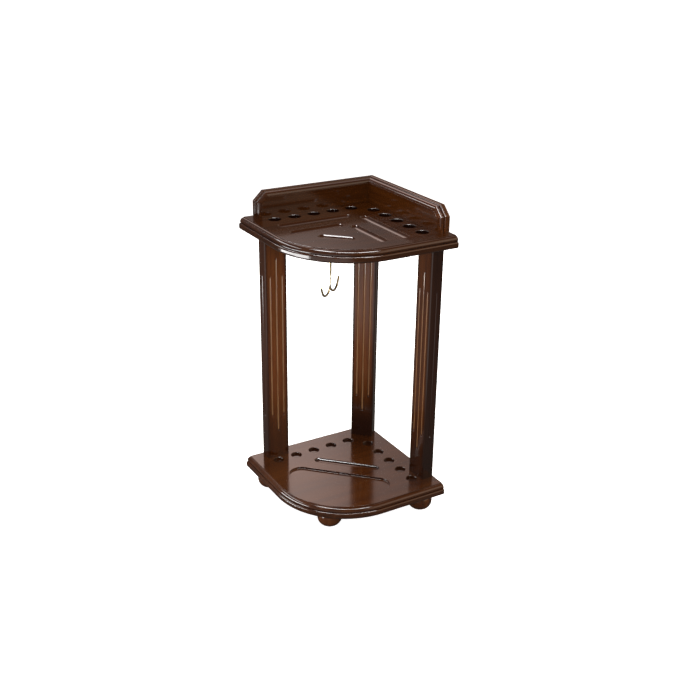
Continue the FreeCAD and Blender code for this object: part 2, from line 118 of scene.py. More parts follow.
class Finish:
    """A node material. Every node in it comes from the node method."""

    def __init__(self, name, tree=None):
        if tree is None:
            self.material = bpy.data.materials.new(name)
            self.material.use_nodes = True
            tree = self.material.node_tree
        self.tree = tree
        self.tree.nodes.clear()

    def node(self, kind, settings=None, inputs=None, output=0):
        """One node: its settings are set first, then its sockets get values or links."""
        made = self.tree.nodes.new(kind)
        for name, value in (settings or {}).items():
            setattr(made, name, value)
        for name, value in (inputs or {}).items():
            socket = made.inputs[name]
            if isinstance(value, Signal):
                self.tree.links.new(value.socket, socket)
            else:
                socket.default_value = value
        return Signal(self, made.outputs[output]) if made.outputs else None

    def place(self, turn=(0, 0, 0), shift=(0, 0, 0)):
        """Object coordinates, turned and shifted."""
        where = self.node("ShaderNodeTexCoord", output=3)
        return self.node("ShaderNodeMapping", inputs={"Vector": where, "Rotation": turn, "Location": shift})

    def part(self, vector, axis):
        """One part of a vector: 0, 1 and 2 are X, Y and Z."""
        return self.node("ShaderNodeSeparateXYZ", inputs={"Vector": vector}, output=axis)

    def size_of(self, value):
        """The value without its sign."""
        return self.node("ShaderNodeMath", {"operation": "ABSOLUTE"}, {0: value})

    def stretched(self, where, stretch):
        return self.node("ShaderNodeMapping", inputs={"Vector": where, "Scale": stretch})

    def noise(self, where, scale, detail=2.0, roughness=0.5, distortion=0.0):
        """A value from 0 to 1."""
        inputs = {
            "Vector": where,
            "Scale": scale,
            "Detail": detail,
            "Roughness": roughness,
            "Distortion": distortion,
        }
        return self.node("ShaderNodeTexNoise", inputs=inputs)

    def shape(self, value, low, high):
        """0 where value is at low, 1 where it is at high, and smooth between."""
        inputs = {"Value": value, "From Min": low, "From Max": high}
        return self.node("ShaderNodeMapRange", {"interpolation_type": "SMOOTHSTEP"}, inputs)

    def mix(self, factor, first, second):
        inputs = {"Factor": factor, 6: first, 7: second}
        return self.node("ShaderNodeMix", {"data_type": "RGBA"}, inputs, output=2)

    def bump(self, height, distance, strength):
        inputs = {"Height": height, "Distance": distance, "Strength": strength}
        return self.node("ShaderNodeBump", inputs=inputs)

    def surface(self, **inputs):
        """The Principled shader, with its sockets named by keyword, and the output."""
        named = {name.replace("_", " "): value for name, value in inputs.items()}
        shader = self.node("ShaderNodeBsdfPrincipled", inputs=named)
        self.node("ShaderNodeOutputMaterial", inputs={"Surface": shader})
        return self.material


def colour(value):
    return (value[0], value[1], value[2], 1.0)


# ---- Sizes and colours that a user would change ----

def length(name, description, millimetres):
    """A size in the panel, kept in metres."""
    return bpy.props.FloatProperty(
        name=name, description=description, unit="LENGTH", min=0, default=millimetres * MM)


class RackSizes(bpy.types.PropertyGroup):
    """Sizes of the fasteners and pads, and the places that the finish depends on."""

    cue_row: length("Cue row from wall", "Distance from a wall to its row of cue places", 64.0)
    first_cue: length("First cue", "Distance from the corner to the first cue place", 110.0)
    cue_pitch: length("Cue pitch", "Distance from one cue place to the next", 61.0)
    cue_radius: length("Cue hole radius", "Radius of a cue hole", 17.0)
    cup_radius: length("Cue cup radius", "Radius of a cue cup in the bottom shelf", 15.0)
    flute_pitch: length("Flute pitch", "Distance between the flutes of a post", 19.0)
    flute_width: length("Flute width", "Width of a flute at the face", 6.4)
    middle_stop: length("Middle flute stop", "Plain length of post above and below the middle flute", 88.0)
    outer_stop: length("Outer flute stop", "Plain length of post above and below the outer flutes", 139.0)
    wood_pitch: length("Wood thread pitch", "Rise of a wood screw's thread in one turn", 2.4)
    machine_pitch: length("Machine thread pitch", "Rise of a bolt's thread in one turn", 1.25)
    thread_depth: length("Thread depth", "Height of a thread's ridge", 0.55)
    screw_shank: length("Screw shank radius", "Radius of a post or gallery screw", 2.2)
    screw_head: length("Screw head radius", "Radius of a countersunk head", 4.4)
    recess_width: length("Recess width", "Half the width of an arm of a screw's cross recess", 0.55)
    recess_reach: length("Recess reach", "Length of each arm of a screw's cross recess", 2.3)
    flute_depth: length("Dowel flute depth", "Depth of the glue flutes in a dowel", 0.35)
    dowel_flutes: bpy.props.IntProperty(
        name="Dowel flutes", description="Number of glue flutes round a dowel", min=3, max=60, default=20)
    pad_rim: length("Pad rim", "Rounding of a felt pad's edge", 0.9)
    pad_fuzz: length("Pad fuzz", "Height of the fibres that stand out of a felt pad", 0.25)


class RackColours(bpy.types.PropertyGroup):
    """Colours and gloss of the rack's finishes."""

    stain_dark: bpy.props.FloatVectorProperty(
        name="Stain in the pores", description="Colour of the stain where it lies deepest",
        subtype="COLOR", min=0, max=1, default=(0.020, 0.0045, 0.0014))
    stain_mid: bpy.props.FloatVectorProperty(
        name="Stain", description="Main colour of the stained wood",
        subtype="COLOR", min=0, max=1, default=(0.078, 0.0195, 0.0036))
    stain_light: bpy.props.FloatVectorProperty(
        name="Stain on hard grain", description="Colour of the stain where the wood takes least of it",
        subtype="COLOR", min=0, max=1, default=(0.150, 0.0420, 0.0070))
    lacquer_roughness: bpy.props.FloatProperty(
        name="Lacquer roughness", description="Roughness of the gloss lacquer",
        subtype="FACTOR", min=0, max=1, default=0.10)
    brass: bpy.props.FloatVectorProperty(
        name="Brass", description="Colour of the polished brass",
        subtype="COLOR", min=0, max=1, default=(0.94, 0.80, 0.50))
    steel: bpy.props.FloatVectorProperty(
        name="Plated steel", description="Colour of the zinc plating",
        subtype="COLOR", min=0, max=1, default=(0.62, 0.60, 0.55))
    beech: bpy.props.FloatVectorProperty(
        name="Beech", description="Colour of the dowels",
        subtype="COLOR", min=0, max=1, default=(0.56, 0.38, 0.22))
    felt: bpy.props.FloatVectorProperty(
        name="Felt", description="Colour of the pads under the feet",
        subtype="COLOR", min=0, max=1, default=(0.055, 0.035, 0.025))


class StageSettings(bpy.types.PropertyGroup):
    """Floor, lights and camera."""

    floor: bpy.props.FloatVectorProperty(
        name="Floor", description="Colour of the floor",
        subtype="COLOR", min=0, max=1, default=(0.90, 0.90, 0.90))
    floor_glow: bpy.props.FloatProperty(
        name="Floor glow", description="Light that the floor gives off", min=0, max=2, default=0.88)
    sky: bpy.props.FloatProperty(
        name="Backdrop light", description="Brightness of the backdrop", min=0, max=5, default=1.0)
    left_box: bpy.props.FloatProperty(
        name="Left softbox", description="Power of the softbox on the left",
        unit="POWER", min=0, default=18.0)
    front_box: bpy.props.FloatProperty(
        name="Front softbox", description="Power of the softbox high in front",
        unit="POWER", min=0, default=24.0)
    top_box: bpy.props.FloatProperty(
        name="Top softbox", description="Power of the softbox overhead",
        unit="POWER", min=0, default=24.0)
    key_box: bpy.props.FloatProperty(
        name="Key softbox", description="Power of the softbox above the camera",
        unit="POWER", min=0, default=15.0)
    low_box: bpy.props.FloatProperty(
        name="Low softbox", description="Power of the low softbox beside the left wall side",
        unit="POWER", min=0, default=24.0)
    fill_box: bpy.props.FloatProperty(
        name="Fill softbox", description="Power of the large softbox beside the camera",
        unit="POWER", min=0, default=52.0)
    back_box: bpy.props.FloatProperty(
        name="Back softbox", description="Power of the large softbox behind the rack",
        unit="POWER", min=0, default=60.0)
    eye: bpy.props.FloatVectorProperty(
        name="Camera place", description="Where the camera stands",
        subtype="TRANSLATION", unit="LENGTH", default=(-1.345, -2.259, 1.627))
    heading: bpy.props.FloatProperty(
        name="Camera heading", description="Direction the camera looks in, from the +X axis",
        subtype="ANGLE", default=math.radians(58.91))
    dip: bpy.props.FloatProperty(
        name="Camera dip", description="How far the camera looks down",
        subtype="ANGLE", default=math.radians(23.56))
    roll: bpy.props.FloatProperty(
        name="Camera roll", description="How far the camera leans",
        subtype="ANGLE", default=math.radians(0.83))
    lens: bpy.props.FloatProperty(
        name="Lens", description="Focal length in millimetres on a 36 mm sensor",
        min=10, max=300, default=52.2)


# ---- Finishes ----

def chestnut(name, turn, seed, colours, tone=1.0, streak=0.35, marks=None):
    """Chestnut stain under gloss lacquer. The grain runs along the turned Z axis.

    marks takes the finish and its colour, and gives the colour with marks of its own.
    """
    wood = Finish(name)
    where = wood.place(turn=turn, shift=(seed * 0.37, seed * 0.61, seed * 0.23))
    sway = wood.noise(wood.stretched(where, (6, 6, 1.2)), 1.0, 2.0)
    plain = wood.noise(wood.stretched(where, (38, 38, 1.6)), 1.0, 3.0, 0.55, 0.4)
    rings = wood.node(
        "ShaderNodeTexWave",
        {"wave_type": "RINGS", "rings_direction": "Z", "wave_profile": "SAW"},
        {"Vector": wood.stretched(where, (1, 1, 0.03)), "Scale": 26.0, "Distortion": 3.2,
         "Detail": 2.0, "Detail Scale": 1.1, "Detail Roughness": 0.5}, output=1)
    fibre = wood.noise(wood.stretched(where, (900, 900, 9)), 1.0, 3.0, 0.6)
    pores = wood.noise(wood.stretched(where, (1700, 1700, 60)), 1.0, 1.0)
    pore_mask = wood.shape(pores, 0.60, 0.72)
    hard = wood.shape(plain, 0.30, 0.72)
    body = wood.mix(hard, colour(colours.stain_mid), colour(colours.stain_light))
    figure = wood.shape(rings, 0.15, 0.95) * 0.22
    body = wood.mix(figure, body, colour(colours.stain_dark))
    body = wood.mix(wood.shape(fibre, 0.42, 0.62) * 0.22, body, colour(colours.stain_dark))
    body = wood.mix(pore_mask * 0.45, body, colour(colours.stain_dark))
    body = wood.mix(wood.shape(sway, 0.40, 0.70) * streak, body, colour(colours.stain_light))
    body = wood.node("ShaderNodeHueSaturation", inputs={"Color": body, "Value": tone})
    if marks:
        body = marks(wood, body)
    skin = wood.noise(wood.stretched(where, (30, 30, 12)), 1.0, 2.0)
    gloss = colours.lacquer_roughness + 0.05 * skin + 0.03 * pore_mask
    relief = 0.5 * fibre - 0.35 * pore_mask
    normal = wood.bump(relief, 0.00002, 0.35)
    return wood.surface(Base_Color=body, Roughness=gloss, Normal=normal, IOR=1.70)


def near_line(wood, distance, reach):
    """1 on a line and 0 beyond its reach, from the distance to the line."""
    return wood.shape(wood.size_of(distance), reach, 0.35 * reach)


def shelf_marks(sizes, node, radius_of_place, place_shade_amount, recess_shade_amount):
    """Painted shade that darkens the cue places, the front recesses and the quirk of the edge."""
    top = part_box(node)[1].z
    corner = (SIDE_WALL + BACK_WALL) * math.sqrt(0.5)

    def marks(wood, body):
        where = wood.place()
        east, north, height = (wood.part(where, axis) for axis in range(3))
        for along, wall, across, other in (
                (east, SIDE_WALL, north, BACK_WALL), (north, BACK_WALL, east, SIDE_WALL)):
            count = ((wall - sizes.first_cue) - along) / sizes.cue_pitch
            nearest = wood.node("ShaderNodeMath", {"operation": "ROUND"}, {0: count})
            nearest = wood.node("ShaderNodeClamp", inputs={"Value": nearest, "Min": 0.0, "Max": 4.0})
            offset = (count - nearest) * sizes.cue_pitch
            aside = across - (other - sizes.cue_row)
            radius = (offset * offset + aside * aside) ** 0.5
            # Painted shade inside each cue hole and cup.
            place_shade = wood.shape(radius, radius_of_place + 0.0022, radius_of_place + 0.0004)
            body = wood.mix(place_shade * place_shade_amount, body, CUE_PLACE_SHADE)
        diagonal = wood.place(turn=(0, 0, math.radians(-45)))
        reach = corner - wood.part(diagonal, 0)
        aside = wood.size_of(wood.part(diagonal, 1))
        # Painted shade on the sunk recess and grooves in the middle of the front.
        sunk = wood.shape(height, top - 0.0007, top - 0.0012)
        sunk = sunk * wood.shape(height, top - 0.0057, top - 0.0050)
        middle = wood.shape(reach, 0.235, 0.245) * wood.shape(reach, 0.405, 0.395)
        middle = middle * wood.shape(aside, 0.14, 0.13)
        body = wood.mix(sunk * middle * recess_shade_amount, body, RECESS_SHADE)
        return quirk_marks(2, top, *SHELF_QUIRK)(wood, body)
    return marks


def quirk_marks(axis, wall, low, high):
    """Painted shade that darkens the quirk of a moulding, which lies between two distances from a plane."""
    def marks(wood, body):
        place = wood.part(wood.place(), axis)
        middle, reach = wall - (low + high) / 2, (high - low) / 2 + 0.0007
        return wood.mix(near_line(wood, place - middle, reach) * 0.9, body, QUIRK_SHADE)
    return marks


def flute_marks(sizes, node, turn, lean, low_shade):
    """Painted highlights down a post's flutes, and painted shade that darkens its edges and its lower end.
    """
    low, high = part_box(node)
    middle = Matrix.Rotation(turn, 3, "Z") @ ((low + high) / 2)

    def marks(wood, body):
        where = wood.place(turn=(0, 0, turn), shift=tuple(-middle))
        across, depth, height = (wood.part(where, axis) for axis in range(3))
        level = wood.size_of(height)
        half = (high.z - low.z) / 2
        fleck = wood.noise(wood.stretched(where, (260, 260, 14)), 1.0, 2.0)
        # Painted highlight lines down the flutes.
        painted_light = 0.0
        for place, stop in ((-1, sizes.outer_stop), (0, sizes.middle_stop), (1, sizes.outer_stop)):
            flute = place * sizes.flute_pitch + lean
            line = near_line(wood, across - flute, sizes.flute_width * 0.42)
            painted_light = painted_light + line * wood.shape(level, half - stop, half - stop - 0.008)
        # Painted shade towards the edges and narrow faces of the post.
        edge_shade = wood.shape(wood.size_of(across), 0.0225, 0.0335)
        # Painted shade: darker towards the bottom of the post.
        foot = wood.shape(height, 0.27 - half, 0.04 - half) * low_shade
        body = wood.mix(edge_shade * 0.80, body, EDGE_SHADE)
        body = wood.mix(foot, body, LOW_END_SHADE)
        face = wood.shape(depth, -0.0155, -0.0175)
        mask = painted_light * face * (0.55 + 0.45 * wood.shape(fleck, 0.30, 0.55))
        return wood.mix(mask * 0.66, body, FLUTE_HIGHLIGHT)
    return marks


def polished_brass(colours):
    brass = Finish("polished_brass")
    where = brass.place()
    cloud = brass.noise(where, 160.0, 3.0)
    scratch = brass.noise(brass.stretched(where, (2600, 2600, 300)), 1.0, 2.0)
    dull = tuple(0.62 * part for part in colours.brass)
    tint = brass.mix(brass.shape(cloud, 0.45, 0.8) * 0.35, colour(colours.brass), colour(dull))
    gloss = 0.15 + 0.14 * cloud
    normal = brass.bump(scratch, 0.000004, 0.4)
    return brass.surface(Base_Color=tint, Metallic=1.0, Roughness=gloss, Normal=normal)


def plated_steel(colours):
    steel = Finish("plated_steel")
    where = steel.place()
    cloud = steel.noise(where, 220.0, 4.0)
    warm = (0.66, 0.58, 0.40)
    tint = steel.mix(steel.shape(cloud, 0.42, 0.75) * 0.5, colour(colours.steel), colour(warm))
    return steel.surface(Base_Color=tint, Metallic=1.0, Roughness=0.28 + 0.2 * cloud)


def beech(colours):
    wood = Finish("beech")
    where = wood.place()
    fleck = wood.noise(wood.stretched(where, (900, 900, 160)), 1.0, 2.0)
    dark = tuple(0.6 * part for part in colours.beech)
    tint = wood.mix(wood.shape(fleck, 0.55, 0.7) * 0.7, colour(colours.beech), colour(dark))
    return wood.surface(Base_Color=tint, Roughness=0.62 + 0.1 * fleck)


def felt(colours):
    cloth = Finish("felt")
    where = cloth.place()
    fuzz = cloth.noise(where, 2600.0, 4.0, 0.7)
    light = tuple(2.2 * part for part in colours.felt)
    tint = cloth.mix(cloth.shape(fuzz, 0.35, 0.75), colour(colours.felt), colour(light))
    normal = cloth.bump(fuzz, 0.0003, 0.8)
    return cloth.surface(Base_Color=tint, Roughness=0.95, Normal=normal)


def dress(node, material):
    """Gives a frame piece its finish."""
    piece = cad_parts[node]
    piece.data.materials.clear()
    piece.data.materials.append(material)


ALONG_X = (0, math.radians(90), 0)
ALONG_Y = (math.radians(90), 0, 0)
ALONG_Z = (0, 0, 0)


# ---- Turned stock, and setting it out ----

UPWARD = Vector((0, 0, 1))
DOWNWARD = Vector((0, 0, -1))


def solid_boxes(node, reach, axes=(0, 1)):
    """The lowest and highest corner of each solid of a CAD piece."""
    groups = []
    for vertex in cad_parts[node].data.vertices:
        for group in groups:
            if all(abs(vertex.co[axis] - group[0][axis]) < reach for axis in axes):
                group.append(vertex.co.copy())
                break
        else:
            groups.append([vertex.co.copy()])
    boxes = []
    for group in groups:
        low = Vector([min(spot[axis] for spot in group) for axis in range(3)])
        high = Vector([max(spot[axis] for spot in group) for axis in range(3)])
        boxes.append((low, high))
    return boxes


def foot_of(box):
    return Vector(((box[0].x + box[1].x) / 2, (box[0].y + box[1].y) / 2, box[0].z))


def head_of(box):
    return Vector(((box[0].x + box[1].x) / 2, (box[0].y + box[1].y) / 2, box[1].z))


def turned(name, levels, around, hollow=False):
    """A round piece on the Z axis from its levels: a height, and a radius or a function of the angle."""
    mesh = bpy.data.meshes.new(name)
    build = bmesh.new()
    rings = []
    for height, radius in levels:
        ring = []
        for step in range(around):
            angle = 2 * math.pi * step / around
            reach = radius(angle) if callable(radius) else radius
            ring.append(build.verts.new((reach * math.cos(angle), reach * math.sin(angle), height)))
        rings.append(ring)
    for lower, upper in zip(rings, rings[1:]):
        for step in range(around):
            after = (step + 1) % around
            build.faces.new((lower[step], lower[after], upper[after], upper[step]))
    if not hollow:
        build.faces.new(list(reversed(rings[0])))
        build.faces.new(rings[-1])
    bmesh.ops.remove_doubles(build, verts=build.verts, dist=1e-7)
    bmesh.ops.recalc_face_normals(build, faces=build.faces)
    for face in build.faces:
        face.smooth = len(face.verts) < 5
    build.to_mesh(mesh)
    build.free()
    mesh.set_sharp_from_angle(angle=math.radians(38))
    stock = bpy.data.objects.new(name, mesh)
    bpy.context.scene.collection.objects.link(stock)
    return stock


def threaded(low, high, root, crest, pitch, taper):
    """Levels of a helical thread that narrows over its taper at the high end."""
    levels = []
    count = int((high - low) / pitch * 6)
    for step in range(count + 1):
        height = low + (high - low) * step / count
        share = 1
        if height > (low + high) / 2:
            share = 0.25 + 0.75 * min(1, (high - height + 0.0002) / taper)

        def radius(angle, height=height, share=share):
            phase = (height / pitch - angle / (2 * math.pi)) % 1
            ridge = max(0, 1 - abs(phase - 0.5) * 3.2)
            return (root + (crest - root) * ridge) * share
        levels.append((height, radius))
    return levels


def screw_levels(sizes, long):
    """A countersunk screw from its head face upwards, cross recess first."""
    shank, head, wide = sizes.screw_shank, sizes.screw_head, sizes.recess_width
    root, start = shank - sizes.thread_depth, 0.35 * long

    def cross(share):
        def radius(angle):
            off = abs((angle + math.pi / 4) % (math.pi / 2) - math.pi / 4)
            side = wide / max(math.sin(off), 1e-6)
            return share * min(sizes.recess_reach / math.cos(off), side)
        return radius

    levels = [(0.0019, cross(0.45)), (0.0016, cross(0.72)), (0.0, cross(1.0)), (0.0, head - 0.0003)]
    levels += [(0.00015, head), (0.0005, head), (0.0027, shank), (start, shank)]
    levels += [(start + 0.001, root)]
    levels += threaded(start + 0.001, long - 0.001, root, shank, sizes.wood_pitch, 0.006)
    levels += [(long, 0.0002)]
    return levels


def dowel_levels(sizes, radius, long):
    """A dowel with chamfered ends and glue flutes along it."""
    def fluted(angle):
        return radius - sizes.flute_depth * (0.5 - 0.5 * math.cos(angle * sizes.dowel_flutes)) ** 3

    bevel = 0.0008
    levels = [(0, radius - bevel), (bevel, fluted), (long / 2, fluted)]
    return levels + [(long - bevel, fluted), (long, radius - bevel)]


def setting_out_tree():
    """Geometry nodes that put one stock piece on every point, turned at random about its own axis."""
    tree = bpy.data.node_groups.new("setting_out", "GeometryNodeTree")
    sockets = (
        ("Points", "INPUT", "NodeSocketGeometry"), ("Stock", "INPUT", "NodeSocketObject"),
        ("Aim", "INPUT", "NodeSocketVector"), ("Spin", "INPUT", "NodeSocketFloat"),
        ("Seed", "INPUT", "NodeSocketInt"), ("Finish", "INPUT", "NodeSocketMaterial"),
        ("Set", "OUTPUT", "NodeSocketGeometry"))
    for name, way, kind in sockets:
        tree.interface.new_socket(name=name, in_out=way, socket_type=kind)
    add, link = tree.nodes.new, tree.links.new
    given, made = add("NodeGroupInput"), add("NodeGroupOutput")
    stock = add("GeometryNodeObjectInfo")
    stock.inputs["As Instance"].default_value = True
    aim = add("FunctionNodeAlignRotationToVector")
    aim.axis = "Z"
    spin = add("FunctionNodeRandomValue")
    spin.data_type = "FLOAT"
    about = add("FunctionNodeAxisAngleToRotation")
    about.inputs["Axis"].default_value = (0, 0, 1)
    turn = add("FunctionNodeRotateRotation")
    turn.rotation_space = "LOCAL"
    put = add("GeometryNodeInstanceOnPoints")
    real = add("GeometryNodeRealizeInstances")
    paint = add("GeometryNodeSetMaterial")
    link(given.outputs["Stock"], stock.inputs["Object"])
    link(given.outputs["Aim"], aim.inputs["Vector"])
    link(given.outputs["Spin"], spin.inputs[3])
    link(given.outputs["Seed"], spin.inputs["Seed"])
    link(spin.outputs[1], about.inputs["Angle"])
    link(aim.outputs[0], turn.inputs["Rotation"])
    link(about.outputs[0], turn.inputs["Rotate By"])
    link(given.outputs["Points"], put.inputs["Points"])
    link(stock.outputs["Geometry"], put.inputs["Instance"])
    link(turn.outputs[0], put.inputs["Rotation"])
    link(put.outputs[0], real.inputs[0])
    link(real.outputs[0], paint.inputs["Geometry"])
    link(given.outputs["Finish"], paint.inputs["Material"])
    link(paint.outputs[0], made.inputs[0])
    return tree


def set_out(name, stock, places, aim, material, spin=math.tau):
    """One mesh with the stock piece at every place, its foot there and its length along aim."""
    points = bpy.data.meshes.new(name + "_points")
    points.from_pydata([tuple(place) for place in places], [], [])
    holder = bpy.data.objects.new(name + "_points", points)
    bpy.context.scene.collection.objects.link(holder)
    tree = bpy.data.node_groups.get("setting_out") or setting_out_tree()
    modifier = holder.modifiers.new("set_out", "NODES")
    modifier.node_group = tree
    values = {"Stock": stock, "Aim": tuple(aim), "Spin": spin, "Seed": 7, "Finish": material}
    for item in tree.interface.items_tree:
        if item.name in values:
            modifier[item.identifier] = values[item.name]
    holder.update_tag()
    graph = bpy.context.evaluated_depsgraph_get()
    graph.update()
    mesh = bpy.data.meshes.new_from_object(holder.evaluated_get(graph), depsgraph=graph)
    mesh.name = name
    holder.modifiers.remove(modifier)
    bpy.data.objects.remove(holder)
    bpy.data.objects.remove(stock)
    piece = bpy.data.objects.new(name, mesh)
    bpy.context.scene.collection.objects.link(piece)
    return piece


def settle(piece, body, slot, *nodes):
    """The piece rides on a body and stands for CAD pieces, which are hidden. The slot is not used."""
    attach(piece, body)
    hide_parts(*nodes)
    return {"FINISHED"}


# ---- Operators ----

class RACK_OT_shelves(bpy.types.Operator):
    """Stain and lacquer the two shelves"""
    bl_idname = "rack.shelves"
    bl_label = "Finish the shelves"

    def execute(self, context):
        colours = context.scene.rack_colours
        sizes = context.scene.rack_sizes
        # Painted shade: 0.9 in the top shelf's cue holes; 0.5 in the bottom shelf's cups and 0.9 in its
        # front recesses.
        holes = shelf_marks(sizes, "top_shelf", sizes.cue_radius, 0.9, 0.0)
        cups = shelf_marks(sizes, "bottom_shelf", sizes.cup_radius, 0.5, 0.9)
        dress("top_shelf", chestnut("chestnut_top", ALONG_X, 1.0, colours, 0.25, marks=holes))
        dress("bottom_shelf", chestnut("chestnut_bottom", ALONG_X, 2.0, colours, 0.38, marks=cups))
        return {"FINISHED"}


class RACK_OT_posts(bpy.types.Operator):
    """Stain and lacquer the three fluted posts"""
    bl_idname = "rack.posts"
    bl_label = "Finish the posts"

    def execute(self, context):
        colours = context.scene.rack_colours
        sizes = context.scene.rack_sizes
        # Each post: node, turn in degrees, flute lean, painted shade at its lower end, tone.
        posts = (
            ("left_post", 0, 0.0008, 0.74, 1.3), ("right_post", 90, 0.0, 0.9, 0.75),
            ("rear_post", 45, 0.0, 1.0, 1.1))
        for seed, (node, turn, lean, low_shade, tone) in enumerate(posts):
            painted_light = flute_marks(sizes, node, math.radians(turn), lean, low_shade)
            dress(node, chestnut("chestnut_" + node, ALONG_Z, 3.0 + seed, colours, tone, 0.55, painted_light))
        return {"FINISHED"}


class RACK_OT_gallery(bpy.types.Operator):
    """Stain and lacquer the gallery boards"""
    bl_idname = "rack.gallery"
    bl_label = "Finish the gallery"

    def execute(self, context):
        colours = context.scene.rack_colours
        boards = (
            ("left", 1, BACK_WALL, ALONG_X, 6.0, 0.25), ("right", 0, SIDE_WALL, ALONG_Y, 7.0, 0.46))
        for side, axis, wall, grain, seed, tone in boards:
            shaded = quirk_marks(axis, wall, *BOARD_QUIRK)
            stained = chestnut("chestnut_" + side + "_board", grain, seed, colours, tone, marks=shaded)
            dress(side + "_gallery_board", stained)
        return {"FINISHED"}


class RACK_OT_feet(bpy.types.Operator):
    """Stain and lacquer the bun feet"""
    bl_idname = "rack.feet"
    bl_label = "Finish the feet"

    def execute(self, context):
        colours = context.scene.rack_colours
        for seed, node in enumerate(("left_foot", "right_foot", "front_foot", "rear_foot")):
            dress(node, chestnut("chestnut_" + node, ALONG_Z, 8.0 + seed, colours, 0.8))
        return {"FINISHED"}


class RACK_OT_hook(bpy.types.Operator):
    """Polish the double hook, its sleeve and its flange, and cut the thread of its wood screw"""
    bl_idname = "rack.hook"
    bl_label = "Finish the hook"

    def execute(self, context):
        brass = polished_brass(context.scene.rack_colours)
        for node in ("double_hook", "hook_sleeve", "hook_flange"):
            dress(node, brass)
        sizes = context.scene.rack_sizes
        low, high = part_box("hook_wood_screw")
        half = (high.x - low.x) / 2
        root, crest = 0.0024 - sizes.thread_depth, 0.0024
        levels = [(0, half - 0.0003), (0.0003, half), (0.0120, half), (0.0126, crest), (0.0140, root)]
        levels += threaded(0.0140, 0.0330, root, crest, sizes.wood_pitch, 0.004)
        levels += [(high.z - low.z, 0.0002)]
        stock = turned("hook_screw_stock", levels, 28)
        screw = set_out("hook_screw", stock, [foot_of((low, high))], UPWARD, brass)
        return settle(screw, "rack", "polished_brass", "hook_wood_screw")


class RACK_OT_screws(bpy.types.Operator):
    """Make the countersunk screws of the posts and the gallery"""
    bl_idname = "rack.screws"
    bl_label = "Make the screws"

    def execute(self, context):
        sizes = context.scene.rack_sizes
        steel = plated_steel(context.scene.rack_colours)
        sets = (
            ("upper_post_screws", DOWNWARD), ("lower_post_screws", UPWARD), ("gallery_screws", UPWARD))
        for node, aim in sets:
            solids = solid_boxes(node, 0.012)
            stock = turned(node + "_stock", screw_levels(sizes, solids[0][1].z - solids[0][0].z), 32)
            places = [head_of(solid) if aim is DOWNWARD else foot_of(solid) for solid in solids]
            piece = set_out(node.replace("screws", "screw_set"), stock, places, aim, steel)
            settle(piece, "rack", "plated_steel", node)
        return {"FINISHED"}


class RACK_OT_dowels(bpy.types.Operator):
    """Make the fluted dowels of the posts and of the gallery's mitre"""
    bl_idname = "rack.dowels"
    bl_label = "Make the dowels"

    def execute(self, context):
        sizes = context.scene.rack_sizes
        dowel_wood = beech(context.scene.rack_colours)
        for node in ("upper_post_dowels", "lower_post_dowels"):
            solids = solid_boxes(node, 0.02)
            low, high = solids[0]
            stock = turned(node + "_stock", dowel_levels(sizes, (high.x - low.x) / 2, high.z - low.z), 120)
            places = [foot_of(solid) for solid in solids]
            piece = set_out(node.replace("dowels", "dowel_set"), stock, places, UPWARD, dowel_wood)
            settle(piece, "rack", "dowel_wood", node)
        solids = solid_boxes("gallery_mitre_dowels", 0.01, (2,))
        low, high = solids[0]
        radius = (high.z - low.z) / 2
        reach = ((high.x - low.x) - 2 * radius * math.sqrt(0.5)) * math.sqrt(2)
        stock = turned("mitre_dowel_stock", dowel_levels(sizes, radius, reach), 120)
        across = Vector((1, -1, 0)).normalized()
        places = [(low + high) / 2 - across * reach / 2 for low, high in solids]
        piece = set_out("gallery_mitre_dowel_set", stock, places, across, dowel_wood)
        settle(piece, "rack", "dowel_wood", "gallery_mitre_dowels")
        return {"FINISHED"}


class RACK_OT_foot_fasteners(bpy.types.Operator):
    """Make the hanger bolts of the feet and the insert nuts they turn into"""
    bl_idname = "rack.foot_fasteners"
    bl_label = "Make the foot fasteners"

    def execute(self, context):
        sizes = context.scene.rack_sizes
        steel = plated_steel(context.scene.rack_colours)
        bolts = solid_boxes("foot_hanger_bolts", 0.03)
        low, high = bolts[0]
        crest = (high.x - low.x) / 2
        root = crest - sizes.thread_depth
        length = high.z - low.z
        wood_end, machine_start = 0.44 * length, 0.52 * length
        levels = [(0, 0.0006)] + threaded(0.001, wood_end, root, crest, sizes.wood_pitch, 0.006)
        levels += [(wood_end + 0.0005, crest), (machine_start, crest)]
        levels += threaded(machine_start + 0.0005, length - 0.001, root, crest, sizes.machine_pitch, 0.001)
        levels += [(length, root - 0.0004)]
        stock = turned("hanger_bolt_stock", levels, 28)
        piece = set_out("foot_hanger_bolt_set", stock, [foot_of(bolt) for bolt in bolts], UPWARD, steel)
        settle(piece, "rack", "plated_steel", "foot_hanger_bolts")

        nuts = solid_boxes("foot_insert_nuts", 0.03)
        low, high = nuts[0]
        flange = (high.x - low.x) / 2
        outer = flange - 0.002
        length = high.z - low.z
        bore = crest + 0.00005
        root = outer - sizes.thread_depth
        levels = [(length, bore), (0.0006, bore), (0, bore + 0.0005)]
        levels += [(0, flange - 0.0003), (0.0003, flange), (0.0015, flange), (0.0015, root)]
        levels += threaded(0.002, length - 0.001, root, outer, sizes.wood_pitch, 0.001)
        levels += [(length, outer - 0.001), (length, bore)]
        stock = turned("insert_nut_stock", levels, 28, hollow=True)
        piece = set_out("foot_insert_nut_set", stock, [foot_of(nut) for nut in nuts], UPWARD, steel)
        settle(piece, "rack", "plated_steel", "foot_insert_nuts")
        return {"FINISHED"}


